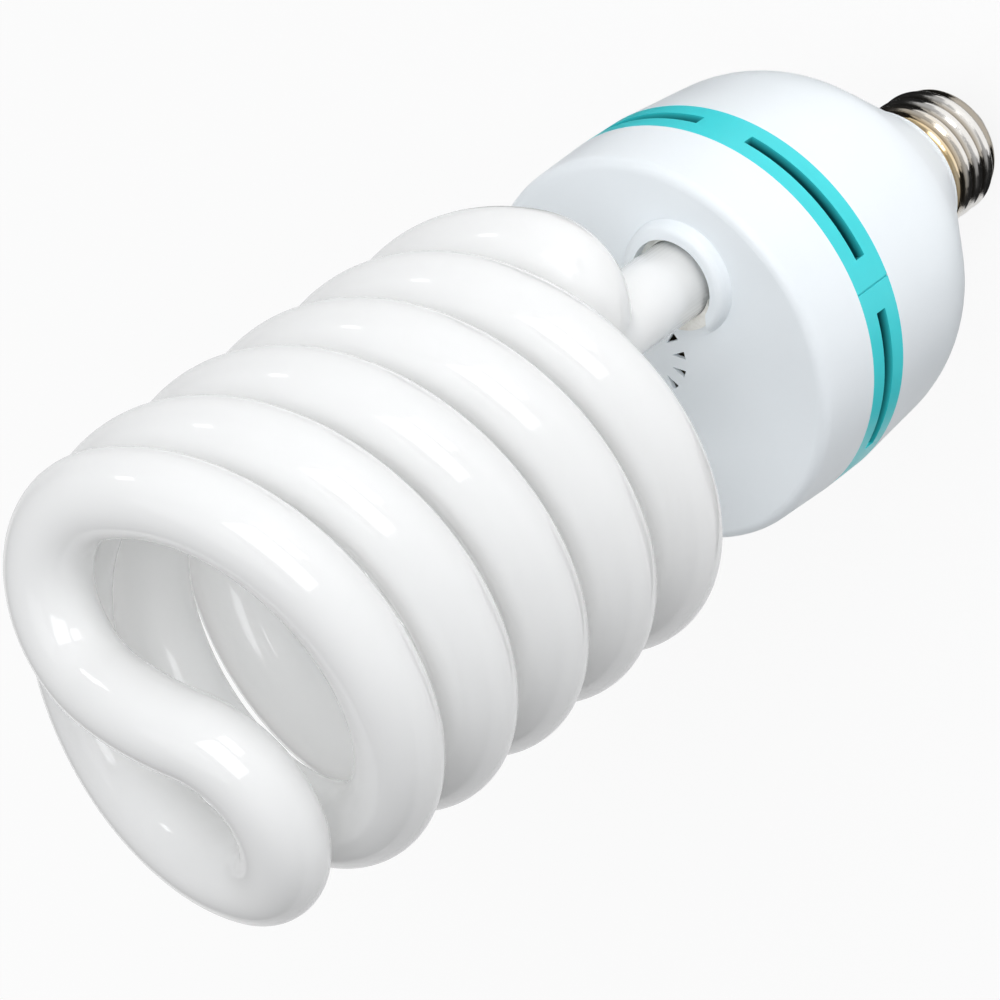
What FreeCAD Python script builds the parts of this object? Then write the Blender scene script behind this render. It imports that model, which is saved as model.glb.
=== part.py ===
"""Spiral energy saving lamp: a double helix discharge tube on a ballast housing with a screw cap.

The lamp stands on its cap. The origin is the middle of the cap's contact face, +Z runs along the
lamp's axis towards the free end of the tube, and the two legs of the tube stand on the Y axis.
Lengths are in millimetres and angles in degrees.
"""
import FreeCAD, Part
import math
import os

from FreeCAD import Placement, Rotation, Vector

# Screw cap, with the round thread of the 27 mm lamp cap at seven turns to the inch
thread_d = 26.3
thread_depth = 0.95
thread_pitch = 25.4 / 7
thread_start_z = 8.6
thread_turns = 4.0
thread_run_out = 0.5
cap_length = 26.0
shell_sheet = 0.4
nose_d = 18.0
nose_z = 5.2
contact_d = 10.0
contact_height = 1.6
contact_edge = 0.7
contact_recess = 0.6
insulator_land = 1.2
insulator_plug_height = 4.5
lead_hole_d = 3.0
recess_play = 0.1
nose_step_count = 5
pitch_step_count = 8
round_step_count = 24

# Rear housing
housing_d = 76.7
housing_length = 54.2
housing_wall = 2.0
wall_draft = 4.85
shoulder_radius = 24.2
cone_angle = 36.0
neck_d = 30.3
neck_cove = 2.0
neck_land = 0.2
spigot_play = 0.2
spigot_wall = 1.6
neck_spigot_length = 11.0

# Vent ring
ring_height = 9.4
ring_spigot_depth = 3.0
ring_spigot_wall = 1.8
ring_slot_count = 6
ring_slot_height = 2.6
ring_slot_angle = 44.5
ring_slot_middle = -104.3
ring_slot_wall = 2.2
ring_slot_relief = 1.1
ring_joint_angle = -134.7
ring_joint_width = 0.35
ring_joint_depth = 0.3

# Front cover
cover_height = 14.15
cover_wall = 2.0
cover_taper = 0.65
cover_round = 2.0
cover_inner_round = 0.8
collar_wall = 2.85
collar_height = 2.8
collar_round = 1.4
collar_draft = 0.4
collar_slot_width = 14.2
collar_slot_angle = 113.7
collar_step = 0.5
fan_count = 12
fan_inner_r = 4.7
fan_outer_r = 7.6
fan_blade_angle = 12.0
fan_first_angle = -115.0
fan_pocket_r = 9.0
fan_plate = 0.8

# Discharge tube
tube_d = 14.6
coil_radius = 35.0
coil_pitch = 37.8
coil_turns = 2.557
leg_stub = 20.2
leg_tail = 9.0
elbow_radius = 8.4
curl_radius = 8.6
curl_turn = 102.6
bridge_half_run = 8.8
collar_play = 1.1
cement_play = 0.03
cement_depth = 3.0
cement_bead_r = 9.6
cement_bead_height = 1.2

# Ballast board and its seat
board_thickness = 1.6
board_play = 0.3
board_post_count = 4
board_post_width = 3.0
board_post_reach = 5.0
board_post_height = 9.0
board_post_first_angle = 45.0

# Ballast components
can_d = 18.0
can_height = 34.0
can_bead = 0.6
can_x = 9.5
can_y = 6.0
choke_x = -16.5
choke_core_width = 26.0
choke_core_height = 24.0
choke_core_depth = 8.0
choke_outer_leg = 4.0
choke_yoke = 4.0
choke_bobbin_wall = 1.0
choke_flange_reach = 4.6
choke_fit = 0.1
choke_winding_gap = 0.6
drum_d = 10.0
drum_height = 13.0
drum_flange = 1.5
drum_neck_d = 5.0
drum_winding_margin = 0.6
drum_x = 15.0
drum_y = -10.5
toroid_d = 13.0
toroid_hole_d = 6.5
toroid_height = 5.5
toroid_wire = 0.5
toroid_fit = 0.05
toroid_winding_count = 3
toroid_winding_angle = 55.0
toroid_angle = 100.0
toroid_edge_gap = 6.0
sink_width = 34.0
sink_height = 22.5
sink_sheet = 2.0
sink_foot = 6.0
sink_y = -24.5
transistor_spacing = 20.0
transistor_width = 10.0
transistor_body_height = 9.2
transistor_body_depth = 4.4
transistor_tab_height = 15.6
transistor_tab = 1.3
transistor_pin = 0.8
transistor_pin_pitch = 2.54
transistor_hole_d = 3.6
screw_d = 3.0
screw_head_d = 5.6
screw_head = 2.2
screw_fit = 0.05
film_width = 13.0
film_depth = 6.0
film_height = 12.0
film_edge = 0.8
film_angles = (56.0, 18.0)
film_wall_gap = 3.5
axial_lead = 0.7
axial_stand_off = 0.8
axial_edge_gap = 11.7
diode_d = 2.7
diode_length = 5.2
diode_reach = 9.0
diode_rows = (8.5, 4.0, -0.5, -5.0)
resistor_d = 2.4
resistor_length = 6.4
resistor_reach = 10.5
resistor_rows = (6.0, 1.5, -3.0)
fuse_d = 4.0
fuse_length = 10.0
fuse_reach = 15.0
fuse_place = (0.0, 0.0)
thermistor_d = 8.0
thermistor_thickness = 3.0
thermistor_angle = -152.0
thermistor_edge_gap = 10.2
lead_d = 1.8
lead_x = -3.2
live_lead_y = -5.0
neutral_lead_y = 5.0
live_bend_z = 22.0
lead_bend = 4.0
neutral_drop = 3.0
neutral_gap = 0.25
filament_lead_d = 0.7
filament_lead_spacing = 6.0

axis_z = Vector(0, 0, 1)

# Heights of the stacked pieces, from the contact face up
housing_base_z = cap_length
ring_base_z = housing_base_z + housing_length
cover_base_z = ring_base_z + ring_height
face_z = cover_base_z + cover_height
plate_under_z = face_z - cover_wall
spigot_end_z = ring_base_z - ring_spigot_depth
board_top_z = spigot_end_z
board_under_z = board_top_z - board_thickness
tube_end_z = plate_under_z - leg_tail

# Radii that more than one piece uses
thread_r = thread_d / 2
thread_root_r = thread_r - thread_depth
housing_r = housing_d / 2
tube_r = tube_d / 2
collar_bore_r = tube_r + collar_play
neck_spigot_r = thread_root_r - shell_sheet - spigot_play
neck_bore_r = neck_spigot_r - spigot_wall


def polar(radius, angle, z=0.0):
    """Point at a radius and an angle about Z."""
    turn = math.radians(angle)
    return Vector(radius * math.cos(turn), radius * math.sin(turn), z)


def line(start, end):
    """Straight edge."""
    return Part.makeLine(start, end)


def arc(start, middle, end):
    """Round edge through three points."""
    return Part.Arc(start, middle, end).toShape()


def section(radius, z):
    """Point of a profile in the XZ plane."""
    return Vector(radius, 0, z)


def revolved(edges, angle=360.0):
    """Solid of a closed profile turned about Z."""
    profile = Part.Face(Part.Wire(edges))
    return profile.revolve(Vector(0, 0, 0), axis_z, angle)


def revolved_outline(points, angle=360.0):
    """Solid of a straight sided profile, given as radius and height pairs, turned about Z."""
    corners = [section(*point) for point in points]
    profile = Part.Face(Part.makePolygon(corners + corners[:1]))
    return profile.revolve(Vector(0, 0, 0), axis_z, angle)


def ring_band(inner_r, outer_r, low_z, high_z, start=0.0, angle=360.0):
    """Band between two radii, all round or over an angle."""
    corners = ((inner_r, low_z), (outer_r, low_z), (outer_r, high_z), (inner_r, high_z))
    band = revolved_outline(corners, angle)
    band.rotate(Vector(0, 0, 0), axis_z, start)
    return band


def box_about(width, depth, low, high, x=0.0, y=0.0):
    """Upright box about a point of the plan."""
    return Part.makeBox(width, depth, high - low, Vector(x - width / 2, y - depth / 2, low))


def upright(radius, low, high, x=0.0, y=0.0):
    """Upright cylinder."""
    return Part.makeCylinder(radius, high - low, Vector(x, y, low))


def half_turn(shape):
    """Copy of a shape on the opposite side of the axis."""
    copy = shape.copy()
    copy.rotate(Vector(0, 0, 0), axis_z, 180)
    return copy


def swept_round(edges, diameter):
    """Round bar along a path that starts straight."""
    path = Part.Wire(edges)
    start = edges[0].valueAt(edges[0].FirstParameter)
    heading = edges[0].tangentAt(edges[0].FirstParameter)
    profile = Part.Wire(Part.makeCircle(diameter / 2, start, heading))
    return path.makePipeShell([profile], True, False)


def rounded_path(points, radius):
    """Straight runs joined by tangent arcs of one radius."""
    edges = []
    start = points[0]
    for corner, after in zip(points[1:-1], points[2:]):
        back = (start - corner).normalize()
        ahead = (after - corner).normalize()
        half_angle = back.getAngle(ahead) / 2
        trim = radius / math.tan(half_angle)
        middle_way = (back + ahead).normalize()
        arc_middle = corner + middle_way * (radius / math.sin(half_angle) - radius)
        arc_start = corner + back * trim
        arc_end = corner + ahead * trim
        edges.append(line(start, arc_start))
        edges.append(arc(arc_start, arc_middle, arc_end))
        start = arc_end
    edges.append(line(start, points[-1]))
    return edges


# Discharge tube

climb = coil_pitch / (2 * math.pi * coil_radius)
climb_angle = math.atan(climb)
elbow_run = elbow_radius * (1 - math.sin(climb_angle))


def leg_plan():
    """Leg and curl in plan, in a frame whose X axis meets the start of the coil.

    Returns the leg's centre, the curl's lower end and the curl's centre.
    """
    curl_centre = Vector(coil_radius - curl_radius, 0, 0)
    curl_end = curl_centre + polar(curl_radius, -curl_turn)
    leg_centre = curl_end + polar(elbow_run, -90 - curl_turn)
    return leg_centre, curl_end, curl_centre


leg_offset = leg_plan()[0].Length


def helix_run(radius, centre, start_angle, sweep, z):
    """Edges of a climbing turn about a vertical line. All runs climb at one slope."""
    lead = coil_pitch * radius / coil_radius
    run = Part.makeHelix(lead, lead * sweep / 360, radius)
    run.Placement = Placement(centre + Vector(0, 0, z), Rotation(axis_z, start_angle))
    return run.Edges


def half_tube_path():
    """Edges of one leg: stub, elbow, curl, coil and the curl into the bridge.

    Returns the edges and the point where the bridge takes over.
    """
    leg_centre, curl_end, curl_centre = leg_plan()
    turn = -90 - math.degrees(math.atan2(leg_centre.y, leg_centre.x))
    into_place = Rotation(axis_z, turn)
    leg = into_place.multVec(leg_centre)
    bend = into_place.multVec(curl_end)
    elbow_z = face_z + leg_stub
    foot = leg + Vector(0, 0, tube_end_z)
    elbow_start = leg + Vector(0, 0, elbow_z)
    heading = (bend - leg).normalize()

    def on_elbow(angle):
        out = heading * (elbow_radius * (1 - math.cos(angle)))
        return elbow_start + out + axis_z * (elbow_radius * math.sin(angle))

    elbow_angle = math.pi / 2 - climb_angle
    elbow_end = on_elbow(elbow_angle)
    edges = [line(foot, elbow_start), arc(elbow_start, on_elbow(elbow_angle / 2), elbow_end)]

    edges += helix_run(curl_radius, into_place.multVec(curl_centre), turn - curl_turn, curl_turn, elbow_end.z)
    coil_z = elbow_end.z + climb * math.radians(curl_turn) * curl_radius
    coil_sweep = 360 * coil_turns
    edges += helix_run(coil_radius, Vector(0, 0, 0), turn, coil_sweep, coil_z)

    crown_z = coil_z + coil_pitch * coil_turns
    crown_angle = turn + coil_sweep
    crown_radius = (coil_radius ** 2 - bridge_half_run ** 2) / (2 * coil_radius)
    crown_offset = coil_radius - crown_radius
    crown_turn = 180 - math.degrees(math.acos(crown_radius / crown_offset))
    crown_centre = polar(crown_offset, crown_angle)
    edges += helix_run(crown_radius, crown_centre, crown_angle, crown_turn, crown_z)
    bridge_z = crown_z + climb * math.radians(crown_turn) * crown_radius
    bridge_start = crown_centre + polar(crown_radius, crown_angle + crown_turn, bridge_z)
    return edges, bridge_start


def discharge_tube():
    """Opaque sealed tube: two legs wound into one coil and joined by a bridge across its end."""
    leg_edges, bridge_start = half_tube_path()
    crest_radius = bridge_half_run / math.sin(climb_angle)
    crest = Vector(0, 0, bridge_start.z + crest_radius * (1 - math.cos(climb_angle)))
    bridge_end = Vector(-bridge_start.x, -bridge_start.y, bridge_start.z)
    bridge = arc(bridge_start, crest, bridge_end)
    other_leg = [half_turn(edge) for edge in reversed(leg_edges)]
    return swept_round(leg_edges + [bridge] + other_leg, tube_d)


# Front cover

def collar():
    """Open collar round one leg, at the axis."""
    foot_r = collar_bore_r + collar_wall
    lip_r = foot_r - collar_draft
    top = face_z + collar_height
    bend = collar_round * (1 - math.sqrt(0.5))
    edges = [
        line(section(collar_bore_r, plate_under_z), section(foot_r, plate_under_z)),
        line(section(foot_r, plate_under_z), section(foot_r, face_z)),
        line(section(foot_r, face_z), section(lip_r, top - collar_round)),
        arc(section(lip_r, top - collar_round), section(lip_r - bend, top - bend),
            section(lip_r - collar_round, top)),
        line(section(lip_r - collar_round, top), section(collar_bore_r, top)),
        line(section(collar_bore_r, top), section(collar_bore_r, plate_under_z)),
    ]
    return revolved(edges)


def collar_slot(inset):
    """Parallel sided slot that opens the collar on one side, above a low step, at the axis."""
    reach = collar_bore_r + collar_wall + collar_play
    width = collar_slot_width - 2 * inset
    slot = Part.makeBox(reach, width, collar_height, Vector(0, -width / 2, face_z + collar_step))
    slot.rotate(Vector(0, 0, 0), axis_z, collar_slot_angle)
    return slot


def cover_radius(z):
    """Outer radius of the cover's slightly tapered wall."""
    return housing_r - cover_taper * (z - cover_base_z) / cover_height


def front_cover():
    """Shallow cup with a rounded rim, two open collars for the legs and a round fan of wedge vents."""
    rim = section(housing_r, cover_base_z)
    inner_rim = section(housing_r - cover_wall, cover_base_z)
    corner = section(cover_radius(face_z), face_z)
    inner_corner = section(cover_radius(plate_under_z) - cover_wall, plate_under_z)
    outer = rounded_path([section(0, face_z), corner, rim], cover_round)
    inner = rounded_path([inner_rim, inner_corner, section(0, plate_under_z)], cover_inner_round)
    middle = line(section(0, plate_under_z), section(0, face_z))
    cover = revolved(outer + [line(rim, inner_rim)] + inner + [middle])
    raised = collar().cut(collar_slot(0.0))
    raised.translate(Vector(0, -leg_offset, 0))
    bore = upright(collar_bore_r, plate_under_z, face_z, 0, -leg_offset)
    cover = cover.cut([bore, half_turn(bore)]).fuse([raised, half_turn(raised)])
    openings = [upright(fan_pocket_r, plate_under_z, face_z - fan_plate)]
    for place in range(fan_count):
        angle = fan_first_angle + 360 * place / fan_count
        tip = polar(fan_inner_r, angle, plate_under_z)
        sides = [polar(fan_outer_r, angle + side * fan_blade_angle / 2, plate_under_z) for side in (-1, 1)]
        outline = Part.Face(Part.makePolygon([tip, sides[0], sides[1], tip]))
        openings.append(outline.extrude(Vector(0, 0, cover_wall)))
    return cover.cut(openings).removeSplitter()


def tube_cement():
    """Cement that holds each leg in its collar and shows in the collar's open side."""
    inner_r = tube_r + cement_play
    low = plate_under_z - cement_depth
    step_z = face_z + collar_step
    ring = ring_band(inner_r, collar_bore_r - cement_play, low, step_z)
    under = ring_band(inner_r, collar_bore_r + collar_wall / 2, low, plate_under_z)
    bead = ring_band(inner_r, cement_bead_r, step_z, step_z + cement_bead_height)
    bead = bead.common(collar_slot(cement_play))
    fill = ring.fuse([under, bead]).removeSplitter()
    fill.translate(Vector(0, -leg_offset, 0))
    return Part.makeCompound([fill, half_turn(fill)])


# Vent ring and rear housing

def wall_radius(z):
    """Outer radius of the housing's slightly tapered wall below the ring."""
    return housing_r - math.tan(math.radians(wall_draft)) * (ring_base_z - z)


ring_spigot_r = wall_radius(spigot_end_z) - housing_wall - spigot_play
ring_top_z = cover_base_z + ring_spigot_depth
cover_spigot_r = cover_radius(ring_top_z) - cover_wall - spigot_play


def vent_ring():
    """Slotted band between cover and housing, with a spigot into each of them and one joint mark."""
    inner_r = ring_spigot_r - ring_spigot_wall
    band = ring_band(inner_r, housing_r, ring_base_z, cover_base_z)
    spigots = [ring_band(inner_r, ring_spigot_r, spigot_end_z, ring_base_z),
               ring_band(inner_r, cover_spigot_r, cover_base_z, ring_top_z)]
    low = (ring_base_z + cover_base_z - ring_slot_height) / 2
    high = low + ring_slot_height
    openings = [ring_band(inner_r - spigot_play, housing_r - ring_slot_wall,
                          low - ring_slot_relief, high + ring_slot_relief)]
    for place in range(ring_slot_count):
        start = ring_slot_middle - ring_slot_angle / 2 + 360 * place / ring_slot_count
        openings.append(ring_band(inner_r - spigot_play, housing_r + spigot_play, low, high,
                                  start, ring_slot_angle))
    joint = Part.makeBox(2 * ring_joint_depth, ring_joint_width, ring_height,
                         Vector(housing_r - ring_joint_depth, -ring_joint_width / 2, ring_base_z))
    joint.rotate(Vector(0, 0, 0), axis_z, ring_joint_angle)
    return band.fuse(spigots).cut(openings + [joint]).removeSplitter()


cone = math.radians(cone_angle)
cone_out = section(math.cos(cone), -math.sin(cone))
cone_up = section(math.sin(cone), math.cos(cone))
cove_centre = section(neck_d / 2 + neck_cove, housing_base_z + neck_land)


def housing_run(inset, low_z):
    """Wall, round shoulder and cone of the housing, moved inwards by an inset, down to a height."""
    draft = math.radians(wall_draft)
    wall_out = section(math.cos(draft), -math.sin(draft))
    wall_top = section(housing_r - inset / math.cos(draft), ring_base_z)
    on_cone = cove_centre - cone_out * (neck_cove + inset)
    corner = on_cone + cone_up * (wall_out.dot(wall_top - on_cone) / math.sin(cone - draft))
    foot = on_cone + cone_up * ((low_z - on_cone.z) / math.cos(cone))
    return rounded_path([wall_top, corner, foot], shoulder_radius - inset)


def rear_housing():
    """Tapered ballast shell with a neck spigot for the cap and posts that carry the board."""
    cove_top = cove_centre - cone_out * neck_cove
    cove_middle = cove_centre + section(-math.cos(cone / 2), math.sin(cone / 2)) * neck_cove
    neck_end = cove_centre - section(neck_cove, 0)
    floor_z = housing_base_z + housing_wall
    outer = housing_run(0.0, cove_top.z)
    inner = housing_run(housing_wall, floor_z)
    wall_top = outer[0].valueAt(outer[0].FirstParameter)
    bore_top = inner[0].valueAt(inner[0].FirstParameter)
    floor_end = inner[-1].valueAt(inner[-1].LastParameter)
    spigot_low = housing_base_z - neck_spigot_length
    corners = [
        neck_end,
        section(neck_end.x, housing_base_z),
        section(neck_spigot_r, housing_base_z),
        section(neck_spigot_r, spigot_low),
        section(neck_bore_r, spigot_low),
        section(neck_bore_r, floor_z),
        floor_end,
    ]
    closing = [line(one, two) for one, two in zip(corners, corners[1:])]
    cove = arc(cove_top, cove_middle, neck_end)
    shell = revolved(outer + [cove] + closing + list(reversed(inner)) + [line(bore_top, wall_top)])

    post_low = board_under_z - board_post_height
    cavity = revolved(inner + [
        line(floor_end, section(0, floor_z)),
        line(section(0, floor_z), section(0, ring_base_z)),
        line(section(0, ring_base_z), bore_top),
    ])
    posts = []
    for place in range(board_post_count):
        reach = board_post_reach + housing_wall
        post = Part.makeBox(reach, board_post_width, board_post_height,
                            Vector(housing_r - reach, -board_post_width / 2, post_low))
        post.rotate(Vector(0, 0, 0), axis_z, board_post_first_angle + 360 * place / board_post_count)
        posts.append(post.common(cavity))
    return shell.fuse(posts).removeSplitter()


# Screw cap

def shell_radius(z, angle, inset):
    """Radius of the formed cap shell at a height and an angle."""
    thread_end_z = thread_start_z + thread_pitch * thread_turns
    if z < thread_start_z:
        rise = (z - nose_z) / (thread_start_z - nose_z)
        base = nose_d / 2 + (thread_root_r - nose_d / 2) * math.sin(math.pi / 2 * rise)
        return base - inset
    swell = 1.0
    run_out = thread_run_out * thread_pitch
    edge = min(z - thread_start_z, thread_end_z - z)
    if edge < run_out:
        swell = max(0.0, 0.5 - 0.5 * math.cos(math.pi * edge / run_out))
    wave = 0.5 + 0.5 * math.cos(2 * math.pi * (z - thread_start_z) / thread_pitch - math.radians(angle))
    return thread_root_r + thread_depth * swell * wave - inset


def shell_heights():
    """Heights at which the formed wall is shaped: the nose, then even steps along the thread."""
    thread_zone = cap_length - thread_start_z
    thread_steps = round(pitch_step_count * thread_zone / thread_pitch)
    heights = [nose_z + (thread_start_z - nose_z) * step / nose_step_count for step in range(nose_step_count)]
    return heights + [thread_start_z + thread_zone * step / thread_steps for step in range(thread_steps + 1)]


def shell_section(angle):
    """Closed outline of the formed sheet at one angle."""
    sides = []
    for inset in (0.0, shell_sheet):
        side = [polar(shell_radius(z, angle, inset), angle, z) for z in shell_heights()]
        curve = Part.BSplineCurve()
        curve.interpolate(side)
        sides.append((side, curve.toShape()))
    (outer, outer_edge), (inner, inner_edge) = sides
    edges = [outer_edge, line(outer[-1], inner[-1]), inner_edge, line(inner[0], outer[0])]
    return Part.Wire(Part.__sortEdges__(edges))


def screw_shell():
    """Thin metal shell with a round thread rolled into it and a drawn-in nose."""
    sections = [shell_section(360 * step / round_step_count) for step in range(round_step_count)]
    return Part.makeLoft(sections, True, False, True)


def cap_insulator():
    """Black insulator between the shell and the contact, with a hole for the live lead."""
    hole_r = lead_hole_d / 2
    seat_r = contact_d / 2 + recess_play
    seat_z = contact_height
    low = seat_z - contact_recess
    plug_r = nose_d / 2 - shell_sheet - spigot_play
    return revolved_outline([
        (hole_r, seat_z), (seat_r, seat_z), (seat_r, low), (seat_r + insulator_land, low),
        (nose_d / 2, nose_z), (plug_r, nose_z), (plug_r, nose_z + insulator_plug_height),
        (hole_r, nose_z + insulator_plug_height),
    ])


def centre_contact():
    """Flat round contact with a rolled edge."""
    radius = contact_d / 2
    bend = contact_edge * (1 - math.sqrt(0.5))
    return revolved([
        line(section(0, 0), section(radius - contact_edge, 0)),
        arc(section(radius - contact_edge, 0), section(radius - bend, bend), section(radius, contact_edge)),
        line(section(radius, contact_edge), section(radius, contact_height)),
        line(section(radius, contact_height), section(0, contact_height)),
        line(section(0, contact_height), section(0, 0)),
    ])


# Ballast

board_r = wall_radius(board_under_z) - housing_wall - board_play
axial_column_x = board_r - axial_edge_gap


def circuit_board():
    """Round board held between the posts of the housing and the spigot of the ring."""
    return upright(board_r, board_under_z, board_top_z)


def bulk_capacitor():
    """Smoothing capacitor: a round can with a rolled bead near its sealed end."""
    radius = can_d / 2
    low = board_under_z - can_height
    bead_z = board_under_z - 4 * can_bead
    can = revolved_outline([
        (0, low), (radius - can_bead, low), (radius, low + can_bead), (radius, bead_z - 2 * can_bead),
        (radius - can_bead, bead_z - can_bead), (radius - can_bead, bead_z), (radius, bead_z + can_bead),
        (radius, board_under_z), (0, board_under_z),
    ])
    can.translate(Vector(can_x, can_y, 0))
    return can


choke_low_z = board_under_z - choke_core_height
choke_window_low = choke_low_z + choke_yoke
choke_window_high = board_under_z - choke_yoke
choke_window = (choke_core_width - choke_core_depth) / 2 - choke_outer_leg
bobbin_size = choke_core_depth + 2 * (choke_fit + choke_bobbin_wall)


def choke_core():
    """Pair of E cores of the lamp choke, glued under the board."""
    core = box_about(choke_core_depth, choke_core_width, choke_low_z, board_under_z, choke_x)
    window_y = choke_core_depth / 2 + choke_window / 2
    windows = [box_about(choke_core_depth, choke_window, choke_window_low, choke_window_high,
                         choke_x, side * window_y) for side in (-1, 1)]
    return core.cut(windows)


def choke_bobbin():
    """Square bobbin on the choke's middle leg."""
    flange = choke_core_depth + 2 * choke_flange_reach
    low = choke_window_low + choke_fit
    high = choke_window_high - choke_fit
    body = box_about(bobbin_size, bobbin_size, low, high, choke_x)
    ends = [box_about(flange, flange, low, low + choke_bobbin_wall, choke_x),
            box_about(flange, flange, high - choke_bobbin_wall, high, choke_x)]
    leg = choke_core_depth + 2 * choke_fit
    return body.fuse(ends).cut(box_about(leg, leg, low, high, choke_x)).removeSplitter()


def choke_winding():
    """Coil of wire on the choke's bobbin, with rounded corners."""
    size = choke_core_depth + 2 * (choke_flange_reach - choke_winding_gap)
    low = choke_window_low + choke_fit + choke_bobbin_wall
    high = choke_window_high - choke_fit - choke_bobbin_wall
    block = box_about(size, size, low, high, choke_x)
    corners = [edge for edge in block.Edges if edge.BoundBox.ZLength > (high - low) / 2]
    block = block.makeFillet((size - bobbin_size) / 4, corners)
    return block.cut(box_about(bobbin_size, bobbin_size, low, high, choke_x))


def filter_core():
    """Ferrite drum of the mains filter choke."""
    low = board_under_z - drum_height
    drum = revolved_outline([
        (0, low), (drum_d / 2, low), (drum_d / 2, low + drum_flange), (drum_neck_d / 2, low + drum_flange),
        (drum_neck_d / 2, board_under_z - drum_flange), (drum_d / 2, board_under_z - drum_flange),
        (drum_d / 2, board_under_z), (0, board_under_z),
    ])
    drum.translate(Vector(drum_x, drum_y, 0))
    return drum


def filter_winding():
    """Wire on the filter choke's drum."""
    winding = ring_band(drum_neck_d / 2, drum_d / 2 - drum_winding_margin,
                        board_under_z - drum_height + drum_flange, board_under_z - drum_flange)
    winding.translate(Vector(drum_x, drum_y, 0))
    return winding


toroid_middle_z = board_under_z - toroid_fit - toroid_wire - toroid_height / 2
toroid_place = polar(board_r - toroid_edge_gap - toroid_d / 2, toroid_angle)


def driver_toroid():
    """Ferrite ring of the driver transformer."""
    ring = ring_band(toroid_hole_d / 2, toroid_d / 2, toroid_middle_z - toroid_height / 2,
                     toroid_middle_z + toroid_height / 2)
    ring.translate(toroid_place)
    return ring


def toroid_coils():
    """Short windings round the driver's ring."""
    cover = toroid_fit + toroid_wire
    coils = []
    for place in range(toroid_winding_count):
        start = 360 * place / toroid_winding_count
        half = toroid_height / 2
        wrap = ring_band(toroid_hole_d / 2 - cover, toroid_d / 2 + cover, toroid_middle_z - half - cover,
                         toroid_middle_z + half + cover, start, toroid_winding_angle)
        core = ring_band(toroid_hole_d / 2 - toroid_fit, toroid_d / 2 + toroid_fit,
                         toroid_middle_z - half - toroid_fit, toroid_middle_z + half + toroid_fit,
                         start, toroid_winding_angle)
        wrap = wrap.cut(core)
        wrap.translate(toroid_place)
        coils.append(wrap)
    return Part.makeCompound(coils)


sink_inner_y = sink_y + sink_sheet
transistor_places = [side * transistor_spacing / 2 for side in (-1, 1)]
transistor_pin_length = transistor_body_height / 2
transistor_top_z = board_under_z - transistor_pin_length
transistor_hole_z = transistor_top_z - (transistor_tab_height + transistor_body_height) / 2


def cross_hole(diameter, x, z, low_y, high_y):
    """Round bar along Y."""
    return Part.makeCylinder(diameter / 2, high_y - low_y, Vector(x, low_y, z), Vector(0, 1, 0))


def heat_sink():
    """Bent aluminium plate under the board that cools the two transistors."""
    plate = Part.makeBox(sink_width, sink_sheet, sink_height,
                         Vector(-sink_width / 2, sink_y, board_under_z - sink_height))
    foot = Part.makeBox(sink_width / 2, sink_foot, sink_sheet,
                        Vector(-sink_width / 4, sink_y, board_under_z - sink_height))
    hole_d = screw_d + 2 * screw_fit
    holes = [cross_hole(hole_d, x, transistor_hole_z, sink_y, sink_inner_y) for x in transistor_places]
    return plate.fuse(foot).cut(holes).removeSplitter()


def power_transistors():
    """Two switching transistors, their tabs flat on the heat sink and their pins up to the board."""
    parts = []
    pin_y = sink_inner_y + transistor_body_depth / 2
    for x in transistor_places:
        side_x = x - transistor_width / 2
        tab = Part.makeBox(transistor_width, transistor_tab, transistor_tab_height,
                           Vector(side_x, sink_inner_y, transistor_top_z - transistor_tab_height))
        body = Part.makeBox(transistor_width, transistor_body_depth, transistor_body_height,
                            Vector(side_x, sink_inner_y, transistor_top_z - transistor_body_height))
        pins = [box_about(transistor_pin, transistor_pin, transistor_top_z, board_under_z,
                          x + place * transistor_pin_pitch, pin_y) for place in (-1, 0, 1)]
        tab_face_y = sink_inner_y + transistor_tab
        hole = cross_hole(transistor_hole_d, x, transistor_hole_z, sink_inner_y, tab_face_y)
        parts.append(tab.fuse([body] + pins).cut(hole).removeSplitter())
    return Part.makeCompound(parts)


def transistor_screws():
    """Screws that clamp the transistors to the heat sink."""
    parts = []
    for x in transistor_places:
        seat_y = sink_inner_y + transistor_tab
        shank = cross_hole(screw_d, x, transistor_hole_z, sink_y, seat_y)
        head = cross_hole(screw_head_d, x, transistor_hole_z, seat_y, seat_y + screw_head)
        parts.append(shank.fuse(head).removeSplitter())
    return Part.makeCompound(parts)


def film_capacitors():
    """Resonance and blocking capacitors: moulded boxes under the board."""
    parts = []
    low = board_under_z - film_height
    corner_r = wall_radius(low) - housing_wall - film_wall_gap
    middle_r = math.sqrt(corner_r ** 2 - (film_width / 2) ** 2) - film_depth / 2
    for angle in film_angles:
        block = box_about(film_depth, film_width, low, board_under_z)
        lower = [edge for edge in block.Edges if edge.BoundBox.ZMax < board_under_z - film_edge]
        upright_edges = [edge for edge in block.Edges if edge.BoundBox.ZLength > film_height / 2]
        block = block.makeFillet(film_edge, lower + upright_edges)
        block.rotate(Vector(0, 0, 0), axis_z, angle)
        block.translate(polar(middle_r, angle))
        parts.append(block)
    return Part.makeCompound(parts)


def axial_part(body_d, body_length, reach, x, y):
    """Lying component with a bent lead down to the board at each end."""
    middle_z = board_top_z + axial_stand_off + body_d / 2
    body_end = Vector(x - body_length / 2, y, middle_z)
    body = Part.makeCylinder(body_d / 2, body_length, body_end, Vector(1, 0, 0))
    leads = []
    for side in (-1, 1):
        start = Vector(x + side * body_length / 2, y, middle_z)
        corner = Vector(x + side * reach / 2, y, middle_z)
        foot = Vector(x + side * reach / 2, y, board_top_z)
        leads.append(swept_round(rounded_path([start, corner, foot], axial_lead), axial_lead))
    return body.fuse(leads)


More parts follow.
